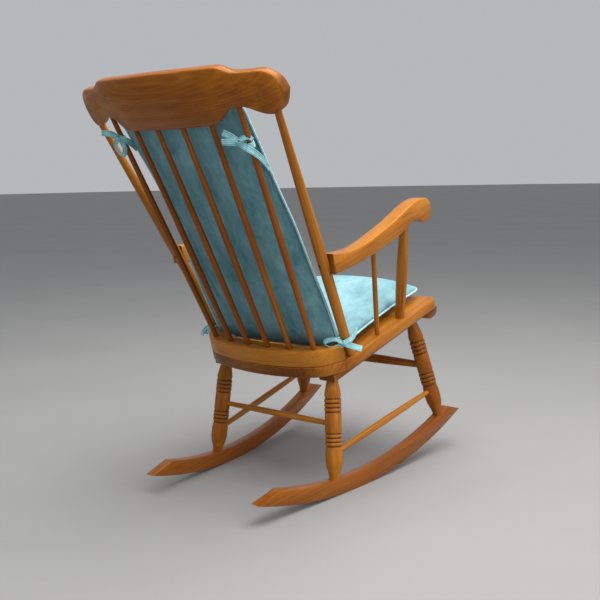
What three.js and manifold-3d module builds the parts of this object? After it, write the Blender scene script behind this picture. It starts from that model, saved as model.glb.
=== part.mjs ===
// A Windsor style rocking chair: turned legs on two toed-out rockers, a stick back under a shaped
// crest rail, S-curved arms, and a tied seat cushion and back cushion.
// Millimetres. +Z is up, the sitter faces -Y, and +X is the sitter's left.
import * as THREE from 'three';
import { mergeVertices } from 'three/addons/utils/BufferGeometryUtils.js';
import Module from 'manifold-3d';

const wasm = await Module();
wasm.setup();

// ---- Driving sizes ----
const fitGap = 0.3; // between a peg and its socket, and between glued faces

// Rockers
const rockerRadius = 1120; // of the running edge
const rockerHeight = 40;
const rockerThickness = 30;
const rockerMiddleX = 218; // from the chair's middle plane, at the origin
const rockerToeOut = THREE.MathUtils.degToRad(5.3);
const rockerLowY = 46; // where the rockers touch a level floor
const rockerFrontReach = 495; // from the low point to the front tip
const rockerRearReach = 351;
const rockerFrontNose = 46; // length of the slanted cut at the front end
const rockerRearNose = 70;
const rockerFacet = THREE.MathUtils.degToRad(2); // the flat that the chair stands on is one facet
const rockerEdge = 3;

// Seat. It has its own frame: Y runs back along the plank and Z is square to it.
const seatTilt = THREE.MathUtils.degToRad(14.5);
const seatHeight = 377.5; // of the plank's top, over the origin
const plankThickness = 30;
const plankEdge = 4;
const seatFront = -356;
const seatRear = 176;
const seatHalfWidthFront = 250;
const seatHalfWidthRear = 238;
const seatRearArcRadius = 640;
const seatRearArcHalf = 150; // the rear arc's half width, where the rounded corners begin
const seatCornerStart = 30; // where the straight sides end
const seatFrontCorner = 22;
const riserHeight = 43.5;
const riserDepth = 46; // front to back, in the middle
const riserEnd = 86; // how far forward its two ends reach
const riserEndDepth = 36;
const riserEdge = 3;
const rollDepth = 54; // the moulding under the front edge
const rollHeight = 28;
const rollOverhang = 13; // past the plank's front edge
const rollInset = 10; // of each end from the plank's side
const cleatWidth = 50;
const cleatThickness = 22;
const cleatFront = -310;
const cleatRear = 120;

// Legs
const legTopX = { front: 194, rear: 184 };
const legTopBack = { front: -287, rear: 93 }; // in the seat's frame
const legFootY = { front: -354, rear: 110 };
const legNeckRadius = 13.5;
const legFootRadius = 14;
const legSwellRadius = 22;
const legBeadRadius = 22.5;
const legGrooveDepth = 2.6;
const legInPlank = 16;
const footTenonRadius = 9;
const footTenonDepth = 20;
const legSegments = 16;

// Stretchers, with heights above the floor on the legs' axes
const stretcherIntoLeg = 9; // how near the end comes to the leg's axis
const rearStretcherHeight = 184;
const frontStretcherHeight = 266;
const sideStretcherRearHeight = 107;
const sideStretcherFrontHeight = 190;

// Back
const backLean = THREE.MathUtils.degToRad(27.485); // from vertical
const crestDatumHeight = 935; // the lowest line of the crest's middle, over the origin
const crestHalfWidth = 321;
const crestThickness = 24;
const crestCurveRadius = 780; // seen from above
const crestEdge = 3;
const stickIntoCrest = 26;
const stickIntoRiser = 34;
const stickRowBack = 154.3; // the stick row on the riser, in the seat's frame
const stickRowRadius = 680;
const stickPitchBase = 68.3;
const outerStickFromCrestEnd = 113.5;
const stickCount = 6;
const postBaseX = 219;
const postBaseBack = 51.6;
const postFromCrestEnd = 33;
const postIntoPlank = 22;

// Arms
const armWidth = 44;
const armOutsidePost = 8; // the arm's rear end, from the post's axis
const armAheadOfPost = 2;
const armSplay = THREE.MathUtils.degToRad(1.6);
const armUndersideRear = 589;
const armHeightRear = 50;
const armEdge = 4;
const scrollRadius = 33;
const scrollReach = 410; // from the arm's rear end to the scroll's middle
const scrollHeight = 724;
const stumpBase = { x: 222, back: -195 };
const stumpReach = 338; // where the stump meets the arm, from the arm's rear end
const armStickBase = { x: 222, back: -76 };
const armStickReach = 194;
const stickIntoArm = 20;
const stickIntoPlank = 20;
const armScrewHeight = 608;
const armScrewHead = { radius: 4.5, height: 3 };
const armScrewShank = { radius: 2.4, length: 48 };
const armScrewReach = 60; // the point on the arm's middle plane that the screw aims at

// Cushions and ties
const seatCushionHalfWidth = 200;
const seatCushionThickness = 70;
const seatCushionFront = -350;
const seatCushionRear = 20;
const backCushionHalfWidth = 200;
const backCushionThickness = 64;
const backCushionAhead = 54; // from the row of sticks to the cushion's rear face
const backCushionBottom = -52; // along the sticks, from the top of the riser
const backCushionPastDatum = 47.5; // how far its top reaches up past the crest's datum
const cushionEdge = 20;
const cushionCorner = 30;
const ribbonWidth = 12;
const ribbonThickness = 3;
const knotRadius = 8;
const stickTieRadius = 7.4; // of a back stick, where a tie goes round it
const postTieRadius = 13.2;
const backTieUnderDatum = { right: 40, left: 15 };
const seatTieAbovePost = 45.4; // over the post's foot

// ---- Frames ----
const chair = new THREE.Group();
const seat = new THREE.Group();
seat.position.z = seatHeight;
seat.rotation.x = -seatTilt;
chair.add(seat);
chair.updateMatrixWorld(true);

const onSeat = (x, back, up = 0) => new THREE.Vector3(x, back, up).applyMatrix4(seat.matrixWorld);
const mirrored = (point, side) => new THREE.Vector3(side * point.x, point.y, point.z);
const between = (a, b, share) => a.clone().lerp(b, share);
const toward = (a, b, distance) => a.clone().add(b.clone().sub(a).setLength(distance));
const atHeight = (a, b, z) => between(a, b, (z - a.z) / (b.z - a.z));
const stickRowBase = onSeat(0, stickRowBack, riserHeight);
// Turns a shape drawn in side view, back to the right and up, so that its thickness lies along X.
const sideOn = new THREE.Matrix4().makeBasis(
  new THREE.Vector3(0, 1, 0), new THREE.Vector3(0, 0, 1), new THREE.Vector3(1, 0, 0));

// ---- Materials and meshes ----
const wood = () => new THREE.MeshStandardMaterial({ color: 0xb06a28, roughness: 0.38, metalness: 0 });
const cloth = () => new THREE.MeshStandardMaterial({ color: 0x5fa9b5, roughness: 0.92, metalness: 0 });
const tape = () => new THREE.MeshStandardMaterial({ color: 0x7cc4cf, roughness: 0.85, metalness: 0 });
const steel = () => new THREE.MeshStandardMaterial({ color: 0x4b4036, roughness: 0.5, metalness: 0.8 });

function addMesh(name, geometry, material, parent = chair) {
  const mesh = new THREE.Mesh(geometry, material);
  mesh.name = name;
  parent.add(mesh);
  mesh.updateMatrixWorld(true);
  return mesh;
}

// ---- Solids ----
function solidOf(geometry) {
  const bare = new THREE.BufferGeometry();
  bare.setAttribute('position', geometry.getAttribute('position').clone());
  if (geometry.index) bare.setIndex(geometry.index.clone());
  const merged = mergeVertices(bare, 1e-3);
  const vertProperties = merged.attributes.position.array;
  const triVerts = new Uint32Array(merged.index.array);
  return new wasm.Manifold(new wasm.Mesh({ numProp: 3, vertProperties, triVerts }));
}

function geometryOf(solid) {
  const { vertProperties, triVerts } = solid.getMesh();
  const geometry = new THREE.BufferGeometry();
  geometry.setAttribute('position', new THREE.BufferAttribute(new Float32Array(vertProperties), 3));
  geometry.setIndex(new THREE.BufferAttribute(new Uint32Array(triVerts), 1));
  geometry.computeVertexNormals();
  return geometry;
}

// A tool's geometry, moved from the tool's own frame into the mesh's.
function movedInto(mesh, tool, geometry) {
  const matrix = mesh.matrixWorld.clone().invert().multiply(tool.matrixWorld);
  return geometry.clone().applyMatrix4(matrix);
}

// Cuts room for a tool out of a mesh. The room is the tool's own shape, larger by the fit gap.
function cut(mesh, tool, room = tool.userData.room) {
  const left = solidOf(mesh.geometry).subtract(solidOf(movedInto(mesh, tool, room)));
  mesh.geometry = geometryOf(left);
}

function join(geometries) {
  return geometryOf(geometries.map(solidOf).reduce((sum, next) => sum.add(next)));
}

// A flat board with rounded edges. Its outline is the shape, and it fills Z from 0 to its thickness.
function board(shape, thickness, edge, curveSegments = 7) {
  const geometry = new THREE.ExtrudeGeometry(shape, {
    depth: thickness - 2 * edge,
    bevelThickness: edge,
    bevelSize: edge,
    bevelOffset: -edge,
    bevelSegments: 2,
    curveSegments,
  });
  return geometry.translate(0, 0, edge);
}

// A turned piece along +Y: pairs of share of the length and radius, from one end to the other.
function turned(length, profile, segments, extra = 0) {
  const outline = profile.map(([share, radius]) => new THREE.Vector2(radius + extra, share * length));
  outline[0].y -= extra;
  outline.at(-1).y += extra;
  const start = new THREE.Vector2(0, outline[0].y);
  const end = new THREE.Vector2(0, outline.at(-1).y);
  return new THREE.LatheGeometry([start, ...outline, end], segments);
}

function placeBetween(mesh, from, to) {
  mesh.position.copy(from);
  mesh.quaternion.setFromUnitVectors(new THREE.Vector3(0, 1, 0), to.clone().sub(from).normalize());
  mesh.updateMatrixWorld(true);
}

// A turned rod from one point to another, both of them inside the pieces that it joins.
function rod(name, from, to, profile, segments = 14) {
  const length = from.distanceTo(to);
  const mesh = addMesh(name, turned(length, profile, segments), wood());
  mesh.userData.room = turned(length, profile, segments, fitGap);
  placeBetween(mesh, from, to);
  return mesh;
}

// A closed solid through rings of points, all of the same count. It is a cylinder whose points are
// moved onto the rings.
function loft(rings) {
  const around = rings[0].length;
  const geometry = new THREE.CylinderGeometry(1, 1, 1, around, rings.length - 1);
  const position = geometry.getAttribute('position');
  let index = 0;
  const put = (point) => {
    position.setXYZ(index, point.x, point.y, point.z);
    index += 1;
  };
  const putRing = (ring) => {
    for (let k = 0; k <= around; k += 1) put(ring[k % around]);
  };
  rings.forEach(putRing);
  for (const ring of [rings[0], rings.at(-1)]) {
    const middle = ring.reduce((sum, point) => sum.add(point), new THREE.Vector3());
    middle.divideScalar(around);
    for (let k = 0; k < around; k += 1) put(middle);
    putRing(ring);
  }
  geometry.computeVertexNormals();
  return geometry;
}

// ---- Seat ----
function rearArcBack(x, rear, radius) {
  return rear - radius + Math.sqrt(radius ** 2 - x ** 2);
}

// The plank's rear outline from the sitter's left corner round to the right one.
function traceRear(shape) {
  const arcBack = rearArcBack(seatRearArcHalf, seatRear, seatRearArcRadius);
  const slope = Math.asin(seatRearArcHalf / seatRearArcRadius);
  const pull = 62; // how far the corner curve's handles reach
  const handleX = seatRearArcHalf + pull * Math.cos(slope);
  const handleBack = arcBack - pull * Math.sin(slope);
  shape.bezierCurveTo(seatHalfWidthRear, seatCornerStart + pull, handleX, handleBack,
    seatRearArcHalf, arcBack);
  shape.absarc(0, seatRear - seatRearArcRadius, seatRearArcRadius,
    Math.PI / 2 - slope, Math.PI / 2 + slope, false);
  shape.bezierCurveTo(-handleX, handleBack, -seatHalfWidthRear, seatCornerStart + pull,
    -seatHalfWidthRear, seatCornerStart);
}

function plankShape() {
  const shape = new THREE.Shape();
  const corner = seatFrontCorner;
  shape.moveTo(-seatHalfWidthFront + corner, seatFront);
  shape.lineTo(seatHalfWidthFront - corner, seatFront);
  shape.quadraticCurveTo(seatHalfWidthFront, seatFront, seatHalfWidthFront, seatFront + corner);
  shape.lineTo(seatHalfWidthRear, seatCornerStart);
  traceRear(shape);
  shape.lineTo(-seatHalfWidthFront, seatFront + corner);
  shape.quadraticCurveTo(-seatHalfWidthFront, seatFront, -seatHalfWidthFront + corner, seatFront);
  return shape;
}

function makePlank() {
  const plank = addMesh('seat_plank', board(plankShape(), plankThickness, plankEdge), wood(), seat);
  plank.position.z = -plankThickness;
  plank.updateMatrixWorld(true);
  return plank;
}

// The curved block glued on the plank's rear edge, which holds the back sticks. It is cut from the
// plank's own outline, so its outer face follows the plank.
function makeRiser() {
  const outer = board(plankShape(), riserHeight, riserEdge);
  const window = new THREE.Shape();
  const innerRear = seatRear - riserDepth;
  const half = seatHalfWidthRear - riserEndDepth;
  const far = 2 * seatHalfWidthFront;
  window.moveTo(-far, riserEnd);
  window.lineTo(-far, 2 * seatFront);
  window.lineTo(far, 2 * seatFront);
  window.lineTo(far, riserEnd);
  window.lineTo(half, riserEnd);
  window.bezierCurveTo(half - riserEndDepth, innerRear, half / 2, innerRear, 0, innerRear);
  window.bezierCurveTo(-half / 2, innerRear, riserEndDepth - half, innerRear, -half, riserEnd);
  window.lineTo(-far, riserEnd);
  const opening = new THREE.ExtrudeGeometry(window, { depth: 3 * riserHeight, bevelEnabled: false });
  opening.translate(0, 0, -riserHeight);
  const geometry = geometryOf(solidOf(outer).subtract(solidOf(opening)));
  const riser = addMesh('seat_back_riser', geometry, wood(), seat);
  riser.position.z = fitGap;
  riser.updateMatrixWorld(true);
  return riser;
}

function makeFrontRoll() {
  const front = seatFront - rollOverhang;
  const rear = front + rollDepth;
  const round = rollHeight * 0.75;
  const shape = new THREE.Shape();
  shape.moveTo(rear, 0);
  shape.lineTo(front + round / 3, 0);
  shape.quadraticCurveTo(front, 0, front, -round / 3);
  shape.quadraticCurveTo(front, -rollHeight, front + round, -rollHeight);
  shape.lineTo(rear - round / 2, -rollHeight);
  shape.lineTo(rear, -round);
  shape.closePath();
  const length = 2 * (seatHalfWidthFront - rollInset);
  const geometry = board(shape, length, 3).translate(0, 0, -length / 2).applyMatrix4(sideOn);
  const roll = addMesh('seat_front_roll', geometry, wood(), seat);
  roll.position.z = -plankThickness - fitGap;
  roll.updateMatrixWorld(true);
  return roll;
}

// A batten under the plank, from the rear leg to the front leg, that both legs are pegged into.
function makeCleat(name, side) {
  const length = cleatRear - cleatFront;
  const shape = new THREE.Shape();
  shape.moveTo(-cleatWidth / 2, 0);
  shape.lineTo(cleatWidth / 2, 0);
  shape.lineTo(cleatWidth / 2, length);
  shape.lineTo(-cleatWidth / 2, length);
  shape.closePath();
  const cleat = addMesh(name, board(shape, cleatThickness, 3), wood(), seat);
  const run = legTopBack.rear - legTopBack.front;
  const drift = (legTopX.front - legTopX.rear) / run;
  const x = legTopX.rear + drift * (legTopBack.rear - cleatFront);
  cleat.position.set(side * x, cleatFront, -plankThickness - fitGap - cleatThickness);
  cleat.rotation.z = side * Math.atan(drift);
  cleat.updateMatrixWorld(true);
  return cleat;
}

// ---- Rockers and legs ----
function rockerPlace(mesh, side) {
  mesh.position.x = side * rockerMiddleX;
  mesh.rotation.z = side * rockerToeOut;
  mesh.updateMatrixWorld(true);
}

// Side view of a rocker: the running edge is a row of flats on a circle, and one flat is level.
// With its top raised and its sides far out, the same shape cuts the legs' feet to fit.
function rockerGeometry(thickness = rockerThickness, extra = 0) {
  const low = rockerLowY / Math.cos(rockerToeOut);
  const frontAngle = -Math.asin(rockerFrontReach / rockerRadius);
  const rearAngle = Math.asin(rockerRearReach / rockerRadius);
  const outline = [];
  const put = (radius, angle) => {
    const y = low + radius * Math.sin(angle);
    outline.push(new THREE.Vector2(y, rockerRadius - radius * Math.cos(angle)));
  };
  put(rockerRadius, frontAngle);
  const first = Math.ceil(frontAngle / rockerFacet - 0.5);
  const last = Math.floor(rearAngle / rockerFacet - 0.5);
  for (let k = first; k <= last; k += 1) put(rockerRadius, (k + 0.5) * rockerFacet);
  put(rockerRadius, rearAngle);
  const topRadius = rockerRadius - rockerHeight - extra;
  const topRear = rearAngle - rockerRearNose / rockerRadius;
  const topFront = frontAngle + rockerFrontNose / rockerRadius;
  const steps = last - first;
  for (let k = 0; k <= steps; k += 1) put(topRadius, THREE.MathUtils.lerp(topRear, topFront, k / steps));
  const geometry = board(new THREE.Shape(outline), thickness, rockerEdge);
  return geometry.translate(0, 0, -thickness / 2).applyMatrix4(sideOn);
}

function makeRocker(name, side) {
  const rocker = addMesh(name, rockerGeometry(), wood());
  rocker.userData.room = rockerGeometry(4 * rockerThickness, fitGap);
  rockerPlace(rocker, side);
  return rocker;
}

// Where a leg's axis meets the top of its rocker.
function legFoot(end) {
  const y = legFootY[end];
  const x = rockerMiddleX - Math.tan(rockerToeOut) * y;
  const out = (y - rockerLowY) / (rockerRadius - rockerHeight);
  return new THREE.Vector3(x, y, rockerRadius - (rockerRadius - rockerHeight) * Math.sqrt(1 - out ** 2));
}

const legTop = (end) => onSeat(legTopX[end], legTopBack[end], -plankThickness);

// The turning from foot to neck: a vase with two bands of beads round a plain barrel.
function legProfile() {
  const band = (start, stop) => {
    const beads = 3;
    const step = (stop - start) / beads;
    const rows = [];
    for (let k = 0; k < beads; k += 1) {
      rows.push([start + k * step, legBeadRadius - legGrooveDepth]);
      rows.push([start + (k + 0.25) * step, legBeadRadius]);
      rows.push([start + (k + 0.75) * step, legBeadRadius]);
    }
    rows.push([stop, legBeadRadius - legGrooveDepth]);
    return rows;
  };
  return [
    [0, legFootRadius], [0.05, legFootRadius + 1.5], [0.12, legSwellRadius - 0.5],
    [0.16, legSwellRadius + 0.8], [0.24, legSwellRadius + 1], ...band(0.308, 0.42), [0.435, legSwellRadius],
    [0.605, legSwellRadius], ...band(0.618, 0.737), [0.77, legSwellRadius], [0.83, legSwellRadius - 3],
    [0.89, legNeckRadius + 2], [0.94, legNeckRadius], [1, legNeckRadius],
  ];
}

function makeLeg(name, end, side, rocker) {
  const foot = mirrored(legFoot(end), side);
  const top = mirrored(legTop(end), side);
  const below = 12; // enough to reach through the rocker's curved top before the foot is cut to it
  const length = foot.distanceTo(top);
  const whole = below + length + legInPlank;
  const share = (value) => (below + value * length) / whole;
  const rows = legProfile().map(([at, radius]) => [share(at), radius]);
  const profile = [[0, legFootRadius], ...rows, [1, legNeckRadius]];
  const leg = addMesh(name, turned(whole, profile, legSegments), wood());
  leg.userData.room = turned(whole, profile, legSegments, fitGap);
  placeBetween(leg, toward(foot, top, -below), top);
  cut(leg, rocker);
  const tenonFrom = below - footTenonDepth;
  const tenon = new THREE.CylinderGeometry(footTenonRadius, footTenonRadius, 2 * footTenonDepth, 12);
  tenon.translate(0, tenonFrom + footTenonDepth, 0);
  leg.geometry = join([leg.geometry, tenon]);
  const roomRadius = footTenonRadius + fitGap;
  const tenonRoom = new THREE.CylinderGeometry(roomRadius, roomRadius, 2 * footTenonDepth + 2 * fitGap, 12);
  tenonRoom.translate(0, tenonFrom + footTenonDepth, 0);
  cut(rocker, leg, tenonRoom);
  leg.userData.axis = [foot, top];
  return leg;
}

// ---- Stretchers ----
function makeStretcher(name, legA, heightA, legB, heightB, endRadius, middleRadius) {
  const a = atHeight(...legA.userData.axis, heightA);
  const b = atHeight(...legB.userData.axis, heightB);
  const swell = (share) => THREE.MathUtils.lerp(endRadius, middleRadius, share);
  const profile = [
    [0, endRadius], [0.1, swell(0.2)], [0.3, swell(0.8)], [0.5, middleRadius],
    [0.7, swell(0.8)], [0.9, swell(0.2)], [1, endRadius],
  ];
  const stretcher = rod(name, toward(a, b, stretcherIntoLeg), toward(b, a, stretcherIntoLeg), profile);
  cut(legA, stretcher);
  cut(legB, stretcher);
}

// ---- Crest and back sticks ----
function heightAlong(curve, x) {
  const points = curve.getPoints(400);
  const k = Math.max(1, points.findIndex((point) => point.x >= x));
  const share = (x - points[k - 1].x) / (points[k].x - points[k - 1].x);
  return THREE.MathUtils.lerp(points[k - 1].y, points[k].y, share);
}

// Half of the crest's outline: distance from the middle, and height along the lean from its datum.
const crestOutline = (pairs) => new THREE.SplineCurve(pairs.map(([x, y]) => new THREE.Vector2(x, y)));
const fromEnd = (distance) => crestHalfWidth - distance;
const crestEarMiddle = 78;
const crestTopEdge = crestOutline([
  [-90, 136], [0, 136], [fromEnd(158) / 2, 136.3], [fromEnd(158), 138], [fromEnd(130), 138],
  [fromEnd(114), 131], [fromEnd(97), 125], [fromEnd(68), 125], [fromEnd(36), 126], [fromEnd(16), 117],
  [fromEnd(4), 100], [crestHalfWidth, crestEarMiddle],
]);
const crestBottomEdge = crestOutline([
  [-90, 4], [0, 4], [fromEnd(184) / 2, 4.3], [fromEnd(184), 8], [fromEnd(166), 16], [fromEnd(152), 29],
  [fromEnd(136), 41], [fromEnd(114), 47], [fromEnd(92), 46], [fromEnd(72), 37], [fromEnd(50), 29],
  [fromEnd(28), 31], [fromEnd(10), 48], [crestHalfWidth, crestEarMiddle],
]);
// The crest's centre surface on the middle plane, at its datum height, straight up the lean from
// the row of sticks.
const crestMiddleY = stickRowBase.y + Math.tan(backLean) * (crestDatumHeight - stickRowBase.z);

// A point of the crest: distance from the middle, height along the lean, and depth behind its centre.
function onCrest(x, along, behind = 0) {
  const drop = crestCurveRadius - Math.sqrt(crestCurveRadius ** 2 - x ** 2);
  const y = crestMiddleY + along * Math.sin(backLean) + behind * Math.cos(backLean) - drop;
  const rise = along * Math.cos(backLean) - behind * Math.sin(backLean);
  return new THREE.Vector3(x, y, crestDatumHeight + rise);
}

function makeCrest() {
  const rings = [];
  const columns = 44;
  const bunching = 0.55; // how far the columns draw together towards the round ends
  const lastX = crestHalfWidth - 0.4;
  for (let k = -columns; k <= columns; k += 1) {
    const share = k / columns;
    const x = THREE.MathUtils.lerp(share, Math.sin(share * Math.PI / 2), bunching) * lastX;
    const bottom = heightAlong(crestBottomEdge, Math.abs(x));
    const top = heightAlong(crestTopEdge, Math.abs(x));
    const edge = Math.min(crestEdge, (top - bottom) / 3);
    const half = crestThickness / 2;
    const corners = [
      [bottom, edge - half], [bottom + edge, -half], [top - edge, -half], [top, edge - half],
      [top, half - edge], [top - edge, half], [bottom + edge, half], [bottom, half - edge],
    ];
    rings.push(corners.map(([along, behind]) => onCrest(x, along, behind)));
  }
  return addMesh('crest_rail', loft(rings), wood());
}

const slimRod = (endRadius, middleRadius, otherRadius) => [
  [0, endRadius], [0.15, endRadius + (middleRadius - endRadius) * 0.5], [0.35, middleRadius],
  [0.5, middleRadius], [0.75, otherRadius + (middleRadius - otherRadius) * 0.5], [1, otherRadius],
];

const stickPitchTop = (crestHalfWidth - outerStickFromCrestEnd) / ((stickCount - 1) / 2);

function makeBackStick(number, riser, crest) {
  const place = number - (stickCount + 1) / 2;
  const baseX = place * stickPitchBase;
  const topX = place * stickPitchTop;
  const base = onSeat(baseX, rearArcBack(baseX, stickRowBack, stickRowRadius), riserHeight + fitGap);
  const top = onCrest(topX, heightAlong(crestBottomEdge, Math.abs(topX)));
  const from = toward(base, top, -stickIntoRiser);
  const to = toward(top, base, -stickIntoCrest);
  const stick = rod(`back_spindle_${number}`, from, to, slimRod(6.5, 8.5, 6));
  cut(riser, stick);
  cut(crest, stick);
  stick.userData.axis = [base, top];
  return stick;
}

// The left back post's axis; the right one mirrors it.
const postTopX = crestHalfWidth - postFromCrestEnd;
const postFoot = onSeat(postBaseX, postBaseBack);
const postHead = onCrest(postTopX, heightAlong(crestBottomEdge, postTopX));

function makePost(name, side, plank, crest) {
  const base = mirrored(postFoot, side);
  const top = mirrored(postHead, side);
  const from = toward(base, top, -postIntoPlank);
  const to = toward(top, base, -stickIntoCrest);
  const post = rod(name, from, to, slimRod(12, 14, 8), 16);
  cut(plank, post);
  cut(crest, post);
  post.userData.axis = [base, top];
  return post;
}

// ---- Arms ----
const armRear = atHeight(postFoot, postHead, armUndersideRear + armHeightRear / 2);
armRear.x += armOutsidePost;
armRear.y -= armAheadOfPost;

// The arm's underside in side view, from near its rear end to the notch under the scroll.
const armUnderside = new THREE.CubicBezierCurve(
  new THREE.Vector2(14, armUndersideRear + 1), new THREE.Vector2(150, armUndersideRear + 23),
  new THREE.Vector2(290, armUndersideRear + 66), new THREE.Vector2(352, scrollHeight - 26));

function armShape() {
  const top = armUndersideRear + armHeightRear;
  const scrollEnd = THREE.MathUtils.degToRad(-127);
  const shape = new THREE.Shape();
  const { v0, v1, v2, v3 } = armUnderside;
  shape.moveTo(10, armUndersideRear);
  shape.lineTo(0, top);
  shape.bezierCurveTo(90, top - 5, 140, top + 16, 231, top + 51);
  shape.bezierCurveTo(305, top + 79, scrollReach - 58, scrollHeight + scrollRadius,
    scrollReach, scrollHeight + scrollRadius);
  shape.absarc(scrollReach, scrollHeight, scrollRadius, Math.PI / 2, scrollEnd, true);
  shape.quadraticCurveTo(v3.x + 18, v3.y + 9, v3.x, v3.y);
  shape.bezierCurveTo(v2.x, v2.y, v1.x, v1.y, v0.x, v0.y);
  return shape;
}

// An arm is drawn in side view with its rear end at 0 and its front to the right, so it is turned
// half round, with the scroll to the front.
function makeArm(name, side) {
  const geometry = board(armShape(), armWidth, armEdge).translate(0, 0, -armWidth / 2);
  geometry.applyMatrix4(sideOn).rotateZ(Math.PI);
  const arm = addMesh(name, geometry, wood());
  arm.position.set(side * armRear.x, armRear.y, 0);
  arm.rotation.z = side * armSplay;
  arm.updateMatrixWorld(true);
  return arm;
}

// A point on the arm's middle plane, by its distance forward of the arm's rear end.
function onArm(side, reach, height) {
  const x = armRear.x + Math.sin(armSplay) * reach;
  return new THREE.Vector3(side * x, armRear.y - Math.cos(armSplay) * reach, height);
}

function makeArmRod(name, side, baseAt, reach, profile, segments, plank, arm) {
  const base = onSeat(side * baseAt.x, baseAt.back);
  const top = onArm(side, reach, heightAlong(armUnderside, reach));
  const from = toward(base, top, -stickIntoPlank);
  const piece = rod(name, from, toward(top, base, -stickIntoArm), profile, segments);
  cut(plank, piece);
  cut(arm, piece);
  return piece;
}

const armStickProfile = slimRod(6, 6.8, 6);
const stumpProfile = [
  [0, 12.5], [0.12, 12.8], [0.3, 15], [0.45, 15.8], [0.6, 15], [0.85, 12], [1, 11.5],
];

// The screw that holds an arm to its post, put in from behind with its head sunk in the post.
function makeArmScrew(name, side, post, arm) {
  const head = armScrewHead;
  const shank = armScrewShank;
  const axis = atHeight(...post.userData.axis, armScrewHeight);
  const target = onArm(side, armScrewReach, armScrewHeight);
  const start = toward(axis, target, -12.5);
  const length = head.height + shank.length;
  const split = head.height / length;
  const profile = [[0, head.radius], [split, head.radius], [split, shank.radius], [1, shank.radius]];
  const screw = addMesh(name, turned(length, profile, 12), steel());
  screw.userData.room = turned(length, profile, 12, fitGap);
  placeBetween(screw, start, target);
  const bore = new THREE.CylinderGeometry(head.radius + fitGap, head.radius + fitGap, 12, 12);
  cut(post, screw, bore.translate(0, -5.5, 0));
  cut(post, screw);
  cut(arm, screw);
}

// ---- Cushions and ties ----
function cushionShape(halfWidth, from, to) {
  const shape = new THREE.Shape();
  const r = cushionCorner;
  shape.moveTo(-halfWidth + r, from);
  shape.lineTo(halfWidth - r, from);
  shape.quadraticCurveTo(halfWidth, from, halfWidth, from + r);
  shape.lineTo(halfWidth, to - r);
  shape.quadraticCurveTo(halfWidth, to, halfWidth - r, to);
  shape.lineTo(-halfWidth + r, to);
  shape.quadraticCurveTo(-halfWidth, to, -halfWidth, to - r);
  shape.lineTo(-halfWidth, from + r);
  shape.quadraticCurveTo(-halfWidth, from, -halfWidth + r, from);
  return shape;
}

function makeSeatCushion() {
  const shape = cushionShape(seatCushionHalfWidth, seatCushionFront, seatCushionRear);
  const geometry = board(shape, seatCushionThickness, cushionEdge, 4);
  const cushion = addMesh('seat_cushion', geometry, cloth(), seat);
  cushion.position.z = fitGap;
  cushion.updateMatrixWorld(true);
  return cushion;
}

function makeBackCushion() {
  const datumAlong = (crestDatumHeight - stickRowBase.z) / Math.cos(backLean);
  const top = datumAlong + backCushionPastDatum;
  const shape = cushionShape(backCushionHalfWidth, backCushionBottom, top);
  const geometry = board(shape, backCushionThickness, cushionEdge, 4);
  geometry.translate(0, 0, backCushionAhead);
  const cushion = addMesh('back_cushion', geometry, cloth());
  const up = new THREE.Vector3(0, Math.sin(backLean), Math.cos(backLean));
  const ahead = new THREE.Vector3(0, -Math.cos(backLean), Math.sin(backLean));
  const across = new THREE.Vector3().crossVectors(up, ahead);
  cushion.quaternion.setFromRotationMatrix(new THREE.Matrix4().makeBasis(across, up, ahead));
  cushion.position.copy(stickRowBase);
  cushion.updateMatrixWorld(true);
  return cushion;
}

function ribbon(points) {
  const path = new THREE.CatmullRomCurve3(points);
  const section = new THREE.Shape();
  section.moveTo(-ribbonThickness / 2, -ribbonWidth / 2);
  section.lineTo(ribbonThickness / 2, -ribbonWidth / 2);
  section.lineTo(ribbonThickness / 2, ribbonWidth / 2);
  section.lineTo(-ribbonThickness / 2, ribbonWidth / 2);
  return new THREE.ExtrudeGeometry(section, { steps: 5, bevelEnabled: false, extrudePath: path });
}

// A tie: a band round the stick, a knot behind it and two tails. It is modelled about the knot's
// place on the stick's axis, and the tails' points are measured from there.
function makeTie(name, stick, height, stickRadius, knotWay, tails) {
  const centre = atHeight(...stick.userData.axis, height);
  const inner = stickRadius + 2 * fitGap;
  const outer = inner + ribbonThickness;
  const half = ribbonWidth / 2;
  const ring = new THREE.LatheGeometry([
    new THREE.Vector2(inner, -half), new THREE.Vector2(outer, -half),
    new THREE.Vector2(outer, half), new THREE.Vector2(inner, half), new THREE.Vector2(inner, -half),
  ], 12);
  const along = stick.userData.axis[1].clone().sub(stick.userData.axis[0]).normalize();
  ring.applyQuaternion(new THREE.Quaternion().setFromUnitVectors(new THREE.Vector3(0, 1, 0), along));
  const knotAt = knotWay.clone().setLength(outer + knotRadius - ribbonThickness + 1);
  const knot = new THREE.SphereGeometry(knotRadius, 8, 6).translate(knotAt.x, knotAt.y, knotAt.z);
  const strips = tails.map((points) => ribbon([knotAt, ...points]));
  const tie = addMesh(name, join([ring, knot, ...strips]), tape());
  tie.position.copy(centre);
  tie.updateMatrixWorld(true);
  return tie;
}

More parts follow.
